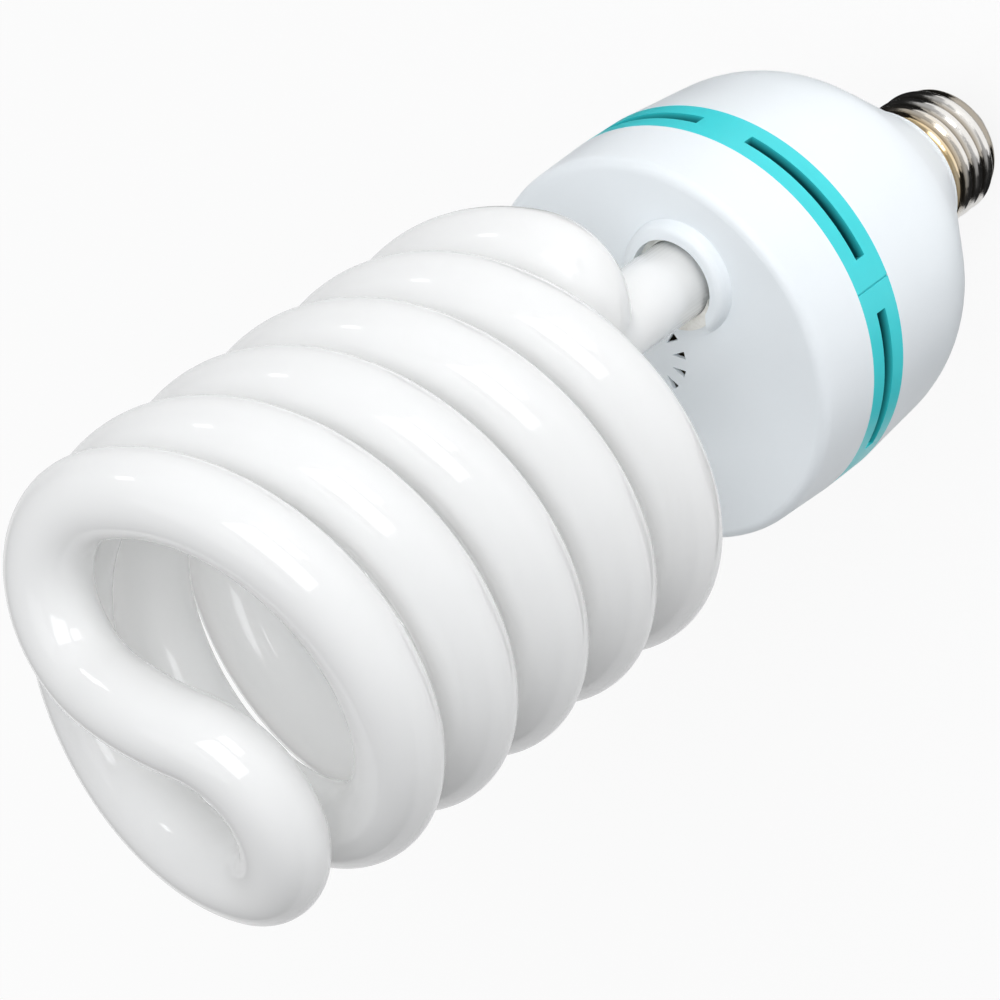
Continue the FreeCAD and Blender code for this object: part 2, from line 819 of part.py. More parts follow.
def rectifier_diodes():
    """Bridge rectifier of four diodes on the upper side of the board."""
    return Part.makeCompound([axial_part(diode_d, diode_length, diode_reach, axial_column_x, row)
                              for row in diode_rows])


def resistors():
    """Base and start resistors on the upper side of the board."""
    return Part.makeCompound([axial_part(resistor_d, resistor_length, resistor_reach, -axial_column_x, row)
                              for row in resistor_rows])


def input_fuse():
    """Fusible resistor in the mains input."""
    return axial_part(fuse_d, fuse_length, fuse_reach, *fuse_place)


def preheat_thermistor():
    """Disc thermistor that delays the start, standing on the board."""
    place = polar(board_r - thermistor_edge_gap, thermistor_angle)
    x = place.x
    y = place.y
    pin = thermistor_thickness / 3
    middle_z = board_top_z + pin + thermistor_d / 2
    disc = cross_hole(thermistor_d, x, middle_z, y - thermistor_thickness / 2, y + thermistor_thickness / 2)
    pins = [box_about(pin, pin, board_top_z, middle_z, x + side * thermistor_d / 4, y) for side in (-1, 1)]
    return disc.fuse(pins).removeSplitter()


# Leads

def live_lead():
    """Insulated lead from the board through the neck to the centre contact."""
    points = [
        Vector(lead_x, live_lead_y, board_under_z),
        Vector(lead_x, live_lead_y, live_bend_z),
        Vector(0, 0, nose_z + insulator_plug_height + lead_bend),
        Vector(0, 0, contact_height),
    ]
    return swept_round(rounded_path(points, lead_bend), lead_d)


def neutral_lead():
    """Insulated lead from the board round the end of the neck spigot to the shell."""
    low = housing_base_z - neck_spigot_length - neutral_drop
    plan = Vector(lead_x, neutral_lead_y, 0)
    outward = Vector(plan).normalize()
    end = outward * (thread_root_r - shell_sheet - neutral_gap)
    points = [plan + axis_z * board_under_z, plan + axis_z * low, end + axis_z * low]
    return swept_round(rounded_path(points, lead_d), lead_d)


def filament_leads():
    """Bare leads from the two tube ends down to the board."""
    leads = []
    for side in (-1, 1):
        lead_x_place = side * filament_lead_spacing / 2
        lead = upright(filament_lead_d / 2, board_top_z, tube_end_z, lead_x_place, -leg_offset)
        leads += [lead, half_turn(lead)]
    return Part.makeCompound(leads)


NODES = {
    "discharge_tube": discharge_tube,
    "tube_cement": tube_cement,
    "front_cover": front_cover,
    "vent_ring": vent_ring,
    "rear_housing": rear_housing,
    "screw_shell": screw_shell,
    "cap_insulator": cap_insulator,
    "centre_contact": centre_contact,
    "circuit_board": circuit_board,
    "bulk_capacitor": bulk_capacitor,
    "choke_core": choke_core,
    "choke_bobbin": choke_bobbin,
    "choke_winding": choke_winding,
    "filter_core": filter_core,
    "filter_winding": filter_winding,
    "driver_toroid": driver_toroid,
    "toroid_coils": toroid_coils,
    "heat_sink": heat_sink,
    "power_transistors": power_transistors,
    "transistor_screws": transistor_screws,
    "film_capacitors": film_capacitors,
    "rectifier_diodes": rectifier_diodes,
    "resistors": resistors,
    "input_fuse": input_fuse,
    "preheat_thermistor": preheat_thermistor,
    "live_lead": live_lead,
    "neutral_lead": neutral_lead,
    "filament_leads": filament_leads,
}

os.makedirs("parts", exist_ok=True)
for node, make in NODES.items():
    shape = make()
    shape.exportStep(f"parts/{node}.step")
    box = shape.BoundBox
    print(f"{node}: {len(shape.Solids)} solids, {shape.Volume:.1f} mm3, valid {shape.isValid()}, "
          f"z {box.ZMin:.2f} to {box.ZMax:.2f}")
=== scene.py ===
"""Looks of a spiral energy saving lamp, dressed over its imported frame.

The coiled tube is modelled here as one smooth skin, the moulded and formed pieces keep their CAD
form, and every piece gets a procedural finish on Object coordinates.
Lengths are in metres, in the frame of the CAD model: +Z runs from the cap to the free end.
"""
import logging
import math
from dataclasses import dataclass, field
from enum import Enum

import bmesh
import bpy
from mathutils import Euler, Matrix, Vector


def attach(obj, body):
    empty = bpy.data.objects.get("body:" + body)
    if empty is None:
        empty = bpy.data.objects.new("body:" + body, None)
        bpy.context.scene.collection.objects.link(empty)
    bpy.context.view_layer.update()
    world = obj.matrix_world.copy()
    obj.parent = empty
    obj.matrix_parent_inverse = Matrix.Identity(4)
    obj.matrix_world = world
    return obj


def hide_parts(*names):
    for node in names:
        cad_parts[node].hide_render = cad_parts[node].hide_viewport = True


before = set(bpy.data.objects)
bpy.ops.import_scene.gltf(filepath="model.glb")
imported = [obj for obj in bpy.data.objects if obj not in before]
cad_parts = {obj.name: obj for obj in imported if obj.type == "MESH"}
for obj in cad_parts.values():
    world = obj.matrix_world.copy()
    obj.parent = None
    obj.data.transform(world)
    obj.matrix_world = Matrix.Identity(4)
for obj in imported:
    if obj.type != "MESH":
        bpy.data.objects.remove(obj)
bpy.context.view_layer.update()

LOG = logging.getLogger("spiral_lamp")

Socket = bpy.types.NodeSocket
Colour = tuple[float, float, float]
Triple = tuple[float, float, float]
Span = tuple[float, float]
Section = list[bmesh.types.BMVert | bmesh.types.BMEdge]

MM = 0.001
UP = Vector((0.0, 0.0, 1.0))
ORIGIN = Vector((0.0, 0.0, 0.0))
UNSTRETCHED: Triple = (1.0, 1.0, 1.0)
FLATTENED: Triple = (1.0, 1.0, 0.0)
WHITE: Colour = (1.0, 1.0, 1.0)
WHOLE: Span = (0.0, 1.0)
# Most of what a noise node gives lies between these.
NOISE_RANGE: Span = (0.3, 0.7)


class Slot(Enum):
    """Material slots of the record."""

    COATED_GLASS = "coated_glass"
    GREY_CEMENT = "grey_cement"
    WHITE_PLASTIC = "white_plastic"
    TURQUOISE_PLASTIC = "turquoise_plastic"
    PLATED_SHELL = "plated_shell"
    BLACK_INSULATOR = "black_insulator"
    CONTACT_BRASS = "contact_brass"
    BOARD_LAMINATE = "board_laminate"
    BLACK_PLASTIC = "black_plastic"
    FERRITE = "ferrite"
    COPPER_WIRE = "copper_wire"
    SINK_ALUMINIUM = "sink_aluminium"
    STEEL = "steel"
    RED_PLASTIC = "red_plastic"
    RESISTOR_BODY = "resistor_body"
    LEAD_SLEEVE = "lead_sleeve"


class Easing(Enum):
    """How a value goes from one end of a range to the other."""

    EVEN = "LINEAR"
    SMOOTH = "SMOOTHSTEP"


class NodeGraph:
    """Small helper that lays out the nodes of one material or world."""

    def __init__(self, tree: bpy.types.NodeTree) -> None:
        """Takes a node tree and empties it."""
        self.tree = tree
        tree.nodes.clear()

    def add(self, kind: str, **values: object) -> bpy.types.Node:
        """Adds a node.

        Args:
            kind: the node's type name.
            values: properties of the node to set.

        Returns:
            The new node.
        """
        node = self.tree.nodes.new(kind)
        for name, value in values.items():
            setattr(node, name, value)
        return node

    def wire(self, source: Socket, target: Socket) -> None:
        """Joins an output to an input."""
        self.tree.links.new(source, target)

    def show(self, shader: Socket, output: str = "ShaderNodeOutputMaterial") -> None:
        """Joins a shader to the output of the material or world."""
        self.wire(shader, self.add(output).inputs["Surface"])

    def place(self, stretch: Triple = UNSTRETCHED) -> Socket:
        """Object coordinates, stretched along the axes.

        Args:
            stretch: the stretch along X, Y and Z.

        Returns:
            The vector socket.
        """
        source = self.add("ShaderNodeTexCoord").outputs["Object"]
        mapping = self.add("ShaderNodeMapping")
        mapping.inputs["Scale"].default_value = stretch
        self.wire(source, mapping.inputs["Vector"])
        return mapping.outputs["Vector"]

    def height(self) -> Socket:
        """Height of a point above the origin.

        Returns:
            The height in metres.
        """
        split = self.add("ShaderNodeSeparateXYZ")
        self.wire(self.place(), split.inputs["Vector"])
        return split.outputs["Z"]

    def reach(self) -> Socket:
        """Distance of a point from the vertical axis.

        Returns:
            The distance in metres.
        """
        length = self.add("ShaderNodeVectorMath", operation="LENGTH")
        self.wire(self.place(FLATTENED), length.inputs[0])
        return length.outputs["Value"]

    def between(self, value: Socket, ends: Span, results: Span = WHOLE,
                easing: Easing = Easing.EVEN) -> Socket:
        """Number that follows a value across a range, and stays put outside it.

        Args:
            value: the driving socket.
            ends: the range of the value.
            results: what the range's ends give.
            easing: how the number goes from one result to the other.

        Returns:
            The number.
        """
        node = self.add("ShaderNodeMapRange", interpolation_type=easing.value)
        node.inputs["From Min"].default_value, node.inputs["From Max"].default_value = ends
        node.inputs["To Min"].default_value, node.inputs["To Max"].default_value = results
        self.wire(value, node.inputs["Value"])
        return node.outputs["Result"]

    def lifted(self, value: Socket, gain: float, base: Socket) -> Socket:
        """Sum of a scaled value and another.

        Args:
            value: the value to scale.
            gain: the scale.
            base: the value that it is added to.

        Returns:
            The sum.
        """
        node = self.add("ShaderNodeMath", operation="MULTIPLY_ADD")
        self.wire(value, node.inputs[0])
        node.inputs[1].default_value = gain
        self.wire(base, node.inputs[2])
        return node.outputs["Value"]

    def noise(self, vector: Socket, scale: float, detail: float = 3.0) -> Socket:
        """Even noise.

        Args:
            vector: where the noise is read.
            scale: cells to a metre.
            detail: octaves of finer noise.

        Returns:
            The factor socket.
        """
        node = self.add("ShaderNodeTexNoise")
        node.inputs["Scale"].default_value = scale
        node.inputs["Detail"].default_value = detail
        self.wire(vector, node.inputs["Vector"])
        return node.outputs["Fac"]

    def blend(self, factor: Socket, low: Colour, high: Colour, span: Span = NOISE_RANGE) -> Socket:
        """Colour that runs from one value to another with a factor.

        Args:
            factor: the driving socket.
            low: colour at the span's start.
            high: colour at the span's end.
            span: the part of the factor's range that is used.

        Returns:
            The colour socket.
        """
        ramp = self.add("ShaderNodeValToRGB")
        first, last = ramp.color_ramp.elements
        first.position, last.position = span
        first.color = (*low, 1.0)
        last.color = (*high, 1.0)
        self.wire(factor, ramp.inputs["Fac"])
        return ramp.outputs["Color"]

    def tinted(self, factor: Socket, tint: Colour, colour: Socket) -> Socket:
        """Colour that is multiplied by a tint where a factor is low.

        Args:
            factor: 0 for the full tint and 1 for none.
            tint: the tint.
            colour: the colour to tint.

        Returns:
            The colour socket.
        """
        mix = self.add("ShaderNodeMix", data_type="RGBA", blend_type="MULTIPLY")
        mix.inputs["Factor"].default_value = 1.0
        self.wire(colour, mix.inputs["A"])
        self.wire(self.blend(factor, tint, WHITE, WHOLE), mix.inputs["B"])
        return mix.outputs["Result"]

    def bump(self, height: Socket, depth: float, strength: float = 1.0) -> Socket:
        """Normal of a shallow relief.

        Args:
            height: the relief.
            depth: its depth in metres.
            strength: how much of it shows.

        Returns:
            The normal socket.
        """
        node = self.add("ShaderNodeBump")
        node.inputs["Distance"].default_value = depth
        node.inputs["Strength"].default_value = strength
        self.wire(height, node.inputs["Height"])
        return node.outputs["Normal"]

    def glow(self, strength: float) -> Socket:
        """White glow.

        Args:
            strength: how bright it is, where 1 is white.

        Returns:
            The shader socket.
        """
        node = self.add("ShaderNodeEmission")
        node.inputs["Strength"].default_value = strength
        return node.outputs["Emission"]

    def surface(self, **values: object) -> bpy.types.Node:
        """Principled surface wired to the output.

        Args:
            values: socket values by socket name.

        Returns:
            The surface node.
        """
        shader = self.add("ShaderNodeBsdfPrincipled")
        for name, value in values.items():
            shader.inputs[name].default_value = value
        self.show(shader.outputs["BSDF"])
        return shader


@dataclass(frozen=True)
class Finish:
    """A finish for one material slot. Subclasses lay out its nodes."""

    slot: Slot

    def lay_out(self, graph: NodeGraph) -> None:
        """Fills the material's nodes."""
        raise NotImplementedError

    def material(self) -> bpy.types.Material:
        """Material of the finish, made once.

        Returns:
            The material.
        """
        title = f"{self.slot.value}_finish"
        made = bpy.data.materials.get(title)
        if made is None:
            made = bpy.data.materials.new(title)
            made.use_nodes = True
            self.lay_out(NodeGraph(made.node_tree))
        return made


@dataclass(frozen=True)
class CoatedGlass(Finish):
    """Clear drawn glass over a white powder coat: glossy and very slightly wavy."""

    white: Colour = (0.955, 0.955, 0.95)
    cloud: Colour = (0.94, 0.94, 0.935)
    cloud_scale: float = 55.0
    roughness: float = 0.05
    ior: float = 1.5
    wave_scale: float = 38.0
    wave_detail: float = 1.0
    wave_depth: float = 0.12 * MM

    def lay_out(self, graph: NodeGraph) -> None:
        """Soft clouds in the coat and long waves in the glass.

        Args:
            graph: the material's nodes.
        """
        shader = graph.surface(Roughness=self.roughness, IOR=self.ior)
        clouds = graph.noise(graph.place(), self.cloud_scale)
        graph.wire(graph.blend(clouds, self.cloud, self.white), shader.inputs["Base Color"])
        waves = graph.noise(graph.place(), self.wave_scale, self.wave_detail)
        graph.wire(graph.bump(waves, self.wave_depth), shader.inputs["Normal"])


@dataclass(frozen=True)
class MouldedPlastic(Finish):
    """Moulded plastic with a fine die grain and faint flow clouds, and painted shade in a given band of
    distance from the axis where one is set.
    """

    tone: Colour
    cloud: Colour
    gloss: Span
    ior: float = 1.49
    cloud_scale: float = 40.0
    cloud_detail: float = 4.0
    # Painted shade: the band of distance from the axis whose colour is darkened by the tint below.
    painted_shade_span: Span | None = None
    painted_shade_tint: Colour = (0.08, 0.15, 0.16)
    patch_scale: float = 150.0
    grain_scale: float = 2600.0
    grain_detail: float = 2.0
    grain_depth: float = 0.01 * MM
    grain_strength: float = 0.6

    def lay_out(self, graph: NodeGraph) -> None:
        """Clouds in the colour, painted shade in the recesses, fine grain in the relief and patches in
        the gloss.

        Args:
            graph: the material's nodes.
        """
        shader = graph.surface(IOR=self.ior)
        clouds = graph.noise(graph.place(), self.cloud_scale, self.cloud_detail)
        colour = graph.blend(clouds, self.cloud, self.tone)
        # Painted shade: the colour is darkened inside the band, on the recess walls of the vent ring's
        # slots.
        if self.painted_shade_span is not None:
            colour = graph.tinted(graph.between(graph.reach(), self.painted_shade_span), self.painted_shade_tint, colour)
        graph.wire(colour, shader.inputs["Base Color"])
        patches = graph.noise(graph.place(), self.patch_scale)
        graph.wire(graph.between(patches, NOISE_RANGE, self.gloss), shader.inputs["Roughness"])
        grain = graph.noise(graph.place(), self.grain_scale, self.grain_detail)
        graph.wire(graph.bump(grain, self.grain_depth, self.grain_strength), shader.inputs["Normal"])


@dataclass(frozen=True)
class PlatedSheet(Finish):
    """Thin bright plate on brass sheet: warm by the housing, dull in the roots, with rolling marks."""

    plate: Colour = (0.86, 0.84, 0.81)
    brass: Colour = (0.86, 0.66, 0.36)
    brass_span: Span = (0.4, 1.0)
    dull: Colour = (0.50, 0.46, 0.40)
    warm_edge: Span = (17.0 * MM, 25.0 * MM)
    root_to_crest: Span = (12.2 * MM, 12.7 * MM)
    patch_stretch: Triple = (1.0, 1.0, 2.5)
    patch_scale: float = 130.0
    patch_detail: float = 4.0
    patch_gain: float = 0.5
    gloss: Span = (0.09, 0.20)
    wear_scale: float = 420.0
    wear_detail: float = 4.0
    mark_stretch: Triple = (0.12, 0.12, 3.0)
    mark_scale: float = 900.0
    mark_detail: float = 2.0
    mark_depth: float = 0.02 * MM
    mark_strength: float = 0.5

    def lay_out(self, graph: NodeGraph) -> None:
        """Warm edge, dull roots, gloss patches and marks that run round the axis.

        Args:
            graph: the material's nodes.
        """
        shader = graph.surface(Metallic=1.0)
        patches = graph.noise(graph.place(self.patch_stretch), self.patch_scale, self.patch_detail)
        warmth = graph.lifted(patches, self.patch_gain, graph.between(graph.height(), self.warm_edge))
        sheet = graph.blend(warmth, self.plate, self.brass, self.brass_span)
        crest = graph.between(graph.reach(), self.root_to_crest)
        graph.wire(graph.tinted(crest, self.dull, sheet), shader.inputs["Base Color"])
        wear = graph.noise(graph.place(), self.wear_scale, self.wear_detail)
        graph.wire(graph.between(wear, NOISE_RANGE, self.gloss), shader.inputs["Roughness"])
        marks = graph.noise(graph.place(self.mark_stretch), self.mark_scale, self.mark_detail)
        graph.wire(graph.bump(marks, self.mark_depth, self.mark_strength), shader.inputs["Normal"])


@dataclass(frozen=True)
class Metal(Finish):
    """Plain metal with gloss patches and fine scratches."""

    tone: Colour
    dull: Colour
    gloss: Span
    patch_scale: float = 300.0
    patch_detail: float = 4.0
    scratch_stretch: Triple = (1.0, 0.08, 1.0)
    scratch_scale: float = 2200.0
    scratch_detail: float = 1.0
    scratch_depth: float = 0.01 * MM
    scratch_strength: float = 0.4

    def lay_out(self, graph: NodeGraph) -> None:
        """Dull patches in the colour and the gloss, and scratches in the relief.

        Args:
            graph: the material's nodes.
        """
        shader = graph.surface(Metallic=1.0)
        patches = graph.noise(graph.place(), self.patch_scale, self.patch_detail)
        graph.wire(graph.blend(patches, self.tone, self.dull), shader.inputs["Base Color"])
        graph.wire(graph.between(patches, NOISE_RANGE, self.gloss), shader.inputs["Roughness"])
        place = graph.place(self.scratch_stretch)
        scratches = graph.noise(place, self.scratch_scale, self.scratch_detail)
        relief = graph.bump(scratches, self.scratch_depth, self.scratch_strength)
        graph.wire(relief, shader.inputs["Normal"])


@dataclass(frozen=True)
class Granular(Finish):
    """Matt body such as cement, ferrite, lacquer or laminate, with speckle and grain."""

    tone: Colour
    speck: Colour
    roughness: float
    speck_scale: float
    grain_depth: float
    speck_detail: float = 5.0
    speck_span: Span = (0.38, 0.6)

    def lay_out(self, graph: NodeGraph) -> None:
        """Speckled colour and a rough relief.

        Args:
            graph: the material's nodes.
        """
        shader = graph.surface(Roughness=self.roughness)
        specks = graph.noise(graph.place(), self.speck_scale, self.speck_detail)
        colour = graph.blend(specks, self.speck, self.tone, self.speck_span)
        graph.wire(colour, shader.inputs["Base Color"])
        graph.wire(graph.bump(specks, self.grain_depth), shader.inputs["Normal"])


@dataclass(frozen=True)
class WoundWire(Finish):
    """Enamelled wire, close wound about a vertical core."""

    tone: Colour = (0.55, 0.22, 0.08)
    shadow: Colour = (0.25, 0.08, 0.03)
    metallic: float = 0.6
    roughness: float = 0.35
    band_scale: float = 125.0
    band_unevenness: float = 0.4
    band_depth: float = 0.1 * MM

    def lay_out(self, graph: NodeGraph) -> None:
        """Turn after turn as a banded relief.

        Args:
            graph: the material's nodes.
        """
        shader = graph.surface(Metallic=self.metallic, Roughness=self.roughness)
        wave = graph.add("ShaderNodeTexWave", bands_direction="Z")
        wave.inputs["Scale"].default_value = self.band_scale
        wave.inputs["Distortion"].default_value = self.band_unevenness
        graph.wire(graph.place(), wave.inputs["Vector"])
        bands = wave.outputs["Fac"]
        graph.wire(graph.blend(bands, self.shadow, self.tone), shader.inputs["Base Color"])
        graph.wire(graph.bump(bands, self.band_depth), shader.inputs["Normal"])


COATED_GLASS = CoatedGlass(Slot.COATED_GLASS)
WHITE_PLASTIC = MouldedPlastic(
    Slot.WHITE_PLASTIC, tone=(0.90, 0.94, 0.97), cloud=(0.885, 0.93, 0.96), gloss=(0.36, 0.46))
TURQUOISE_PLASTIC = MouldedPlastic(
    Slot.TURQUOISE_PLASTIC, tone=(0.055, 0.72, 0.77), cloud=(0.04, 0.68, 0.73), gloss=(0.28, 0.4),
    # Painted shade on the slot walls, 36.5 to 38.3 mm from the axis.
    painted_shade_span=(36.5 * MM, 38.3 * MM))
PLATED_SHELL = PlatedSheet(Slot.PLATED_SHELL)
BLACK_INSULATOR = MouldedPlastic(
    Slot.BLACK_INSULATOR, tone=(0.012, 0.012, 0.014), cloud=(0.02, 0.02, 0.022), gloss=(0.1, 0.2))
CONTACT_BRASS = Metal(
    Slot.CONTACT_BRASS, tone=(0.74, 0.62, 0.40), dull=(0.62, 0.58, 0.50), gloss=(0.25, 0.45))
GREY_CEMENT = Granular(
    Slot.GREY_CEMENT, tone=(0.91, 0.90, 0.86), speck=(0.84, 0.825, 0.78), roughness=0.85,
    speck_scale=1100.0, grain_depth=0.1 * MM)
BOARD_LAMINATE = Granular(
    Slot.BOARD_LAMINATE, tone=(0.08, 0.045, 0.02), speck=(0.06, 0.034, 0.015), roughness=0.6,
    speck_scale=500.0, grain_depth=0.02 * MM)
BLACK_PLASTIC = MouldedPlastic(
    Slot.BLACK_PLASTIC, tone=(0.02, 0.02, 0.022), cloud=(0.03, 0.03, 0.032), gloss=(0.4, 0.55))
FERRITE = Granular(
    Slot.FERRITE, tone=(0.055, 0.055, 0.06), speck=(0.035, 0.035, 0.04), roughness=0.6,
    speck_scale=1500.0, grain_depth=0.04 * MM)
COPPER_WIRE = WoundWire(Slot.COPPER_WIRE)
SINK_ALUMINIUM = Metal(
    Slot.SINK_ALUMINIUM, tone=(0.72, 0.73, 0.74), dull=(0.62, 0.63, 0.64), gloss=(0.3, 0.45))
STEEL = Metal(
    Slot.STEEL, tone=(0.58, 0.58, 0.58), dull=(0.48, 0.48, 0.48), gloss=(0.25, 0.4))
RED_PLASTIC = MouldedPlastic(
    Slot.RED_PLASTIC, tone=(0.24, 0.02, 0.015), cloud=(0.19, 0.015, 0.012), gloss=(0.15, 0.25))
RESISTOR_BODY = Granular(
    Slot.RESISTOR_BODY, tone=(0.45, 0.38, 0.22), speck=(0.38, 0.31, 0.17), roughness=0.45,
    speck_scale=700.0, grain_depth=0.02 * MM)
LEAD_SLEEVE = MouldedPlastic(
    Slot.LEAD_SLEEVE, tone=(0.66, 0.62, 0.54), cloud=(0.6, 0.56, 0.48), gloss=(0.45, 0.6))


class Workshop:
    """Turns finished bmeshes and CAD nodes into dressed pieces."""

    @staticmethod
    def shape(name: str, mesh: bmesh.types.BMesh, paint: bpy.types.Material) -> bpy.types.Object:
        """Makes an object from a finished bmesh.

        Args:
            name: the object's name.
            mesh: the finished bmesh, which is freed.
            paint: the object's material.

        Returns:
            The new object.
        """
        data = bpy.data.meshes.new(name)
        mesh.to_mesh(data)
        mesh.free()
        data.materials.append(paint)
        made = bpy.data.objects.new(name, data)
        bpy.context.scene.collection.objects.link(made)
        return made

    @staticmethod
    def piece(name: str, mesh: bmesh.types.BMesh, finish: Finish, *nodes: str) -> None:
        """Makes a smooth piece that rides on the frame.

        Args:
            name: the piece's name.
            mesh: the finished bmesh, which is freed.
            finish: what it is dressed in.
            nodes: CAD nodes that it stands for.
        """
        made = Workshop.shape(name, mesh, finish.material())
        made.data.shade_smooth()
        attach(made, "root")
        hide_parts(*nodes)
        LOG.info("%s: %d faces", name, len(made.data.polygons))

    @staticmethod
    def dress(node: str, finish: Finish) -> None:
        """Gives a CAD node its finish.

        Args:
            node: the CAD node.
            finish: what it is dressed in.
        """
        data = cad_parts[node].data
        data.materials.clear()
        data.materials.append(finish.material())
        LOG.info("%s: dressed as %s", node, finish.slot.value)


def polar(radius: float, angle: float, z: float = 0.0) -> Vector:
    """Point at a radius and an angle in radians about the axis."""
    return Vector((radius * math.cos(angle), radius * math.sin(angle), z))


@dataclass
class DischargeTube:
    """Coiled tube: two legs wound into one coil and joined by a bridge across its free end."""

    radius: float = 7.27 * MM
    coil_radius: float = 35.0 * MM
    coil_pitch: float = 37.8 * MM
    coil_turns: float = 2.557
    foot_z: float = 92.75 * MM
    elbow_z: float = 123.94 * MM
    elbow_radius: float = 8.4 * MM
    curl_radius: float = 8.6 * MM
    curl_turn: float = math.radians(102.6)
    bridge_half_run: float = 8.8 * MM
    sides: int = 48
    coil_step: float = math.radians(2.2)
    least_step_share: float = 0.4
    elbow_steps: int = 26
    crest_steps: int = 8
    weld: float = 0.02 * MM
    climb: float = field(init=False)
    slope: float = field(init=False)

    def __post_init__(self) -> None:
        """Works out the slope that every climbing run shares."""
        self.climb = self.coil_pitch / (2 * math.pi * self.coil_radius)
        self.slope = math.atan(self.climb)

    def screw(self, mesh: bmesh.types.BMesh, loop: Section, centre: Vector, radius: float,
              sweep: float) -> Section:
        """Winds the open end of the tube about a vertical line.

        Args:
            mesh: the tube so far.
            loop: the section at its open end.
            centre: a point of the line.
            radius: distance of the tube's middle from the line.
            sweep: angle of the run.

        Returns:
            The section at the new open end.
        """
        share = max(self.least_step_share, radius / self.coil_radius)
        steps = math.ceil(sweep / self.coil_step * share)
        rise = UP * (self.climb * radius * sweep / steps)
        wound = bmesh.ops.spin(mesh, geom=loop, cent=centre, axis=UP, dvec=rise, angle=sweep,
                               steps=steps, use_duplicate=False)
        return wound["geom_last"]

    def leg_plan(self) -> tuple[Vector, Vector, Vector, float]:
        """Works out where the leg, the curl and the start of the coil lie in plan.

        Returns:
            The leg, the curl's lower end, the curl's centre and the angle where the coil starts.
        """
        elbow_run = self.elbow_radius * (1 - math.sin(self.slope))
        curl_centre = Vector((self.coil_radius - self.curl_radius, 0, 0))
        curl_end = curl_centre + polar(self.curl_radius, -self.curl_turn)
        leg = curl_end + polar(elbow_run, -math.pi / 2 - self.curl_turn)
        turn = -math.pi / 2 - math.atan2(leg.y, leg.x)
        spin = Matrix.Rotation(turn, 3, "Z")
        return spin @ leg, spin @ curl_end, spin @ curl_centre, turn

    def half(self, mesh: bmesh.types.BMesh) -> None:
        """Models one leg from its foot to the middle of the bridge.

        Args:
            mesh: the empty bmesh to fill.
        """
        leg, curl_end, curl_centre, turn = self.leg_plan()
        heading = (curl_end - leg).normalized()
        facing = Matrix.Rotation(math.atan2(heading.y, heading.x), 4, "Z")
        bmesh.ops.create_circle(mesh, cap_ends=True, segments=self.sides, radius=self.radius,
                                matrix=Matrix.Translation(leg + UP * self.foot_z) @ facing)
        rim = list(mesh.edges)
        grown = bmesh.ops.extrude_edge_only(mesh, edges=rim)["geom"]
        raised = [part for part in grown if isinstance(part, bmesh.types.BMVert)]
        bmesh.ops.translate(mesh, verts=raised, vec=UP * (self.elbow_z - self.foot_z))
        loop = raised + [part for part in grown if isinstance(part, bmesh.types.BMEdge)
                         and all(end in raised for end in part.verts)]

        elbow_turn = math.pi / 2 - self.slope
        pivot = leg + UP * self.elbow_z + heading * self.elbow_radius
        bent = bmesh.ops.spin(mesh, geom=loop, cent=pivot, axis=UP.cross(heading), angle=elbow_turn,
                              steps=self.elbow_steps, use_duplicate=False)
        loop = self.screw(mesh, bent["geom_last"], curl_centre, self.curl_radius, self.curl_turn)
        sweep = 2 * math.pi * self.coil_turns
        loop = self.screw(mesh, loop, ORIGIN, self.coil_radius, sweep)

        crown_angle = turn + sweep
        crown_radius = (self.coil_radius ** 2 - self.bridge_half_run ** 2) / (2 * self.coil_radius)
        crown_offset = self.coil_radius - crown_radius
        crown_turn = math.pi - math.acos(crown_radius / crown_offset)
        loop = self.screw(mesh, loop, polar(crown_offset, crown_angle), crown_radius, crown_turn)

        rim_points = [part.co for part in loop if isinstance(part, bmesh.types.BMVert)]
        bridge_start = sum(rim_points, Vector()) / len(rim_points)
        along = polar(1.0, crown_angle + crown_turn + math.pi / 2)
        crest_radius = self.bridge_half_run / math.sin(self.slope)
        below = UP * (bridge_start.z - crest_radius * math.cos(self.slope))
        bmesh.ops.spin(mesh, geom=loop, cent=below, axis=UP.cross(along), angle=self.slope,
                       steps=self.crest_steps, use_duplicate=False)

    def build(self) -> None:
        """Models the tube and joins its two halves at the middle of the bridge."""
        mesh = bmesh.new()
        self.half(mesh)
        other = bmesh.ops.duplicate(mesh, geom=mesh.verts[:] + mesh.edges[:] + mesh.faces[:])["geom"]
        turned = [part for part in other if isinstance(part, bmesh.types.BMVert)]
        bmesh.ops.rotate(mesh, verts=turned, cent=ORIGIN, matrix=Matrix.Rotation(math.pi, 3, "Z"))
        bmesh.ops.remove_doubles(mesh, verts=mesh.verts, dist=self.weld)
        bmesh.ops.recalc_face_normals(mesh, faces=mesh.faces)
        Workshop.piece("coiled_tube", mesh, COATED_GLASS, "discharge_tube")


@dataclass
class DressedNodes:
    """Sub-assembly whose CAD nodes keep their form and get a finish each."""

    finishes: tuple[tuple[str, Finish], ...]

    def build(self) -> None:
        """Dresses each node."""
        for node, finish in self.finishes:
            Workshop.dress(node, finish)


@dataclass
class Housing(DressedNodes):
    """Moulded housing: front cover, vent ring and rear shell, and the cement in the collars."""

    finishes: tuple[tuple[str, Finish], ...] = (
        ("front_cover", WHITE_PLASTIC),
        ("rear_housing", WHITE_PLASTIC),
        ("vent_ring", TURQUOISE_PLASTIC),
        ("tube_cement", GREY_CEMENT),
    )


@dataclass
class ScrewCap(DressedNodes):
    """Formed shell, insulator and end contact."""

    finishes: tuple[tuple[str, Finish], ...] = (
        ("screw_shell", PLATED_SHELL),
        ("cap_insulator", BLACK_INSULATOR),
        ("centre_contact", CONTACT_BRASS),
    )


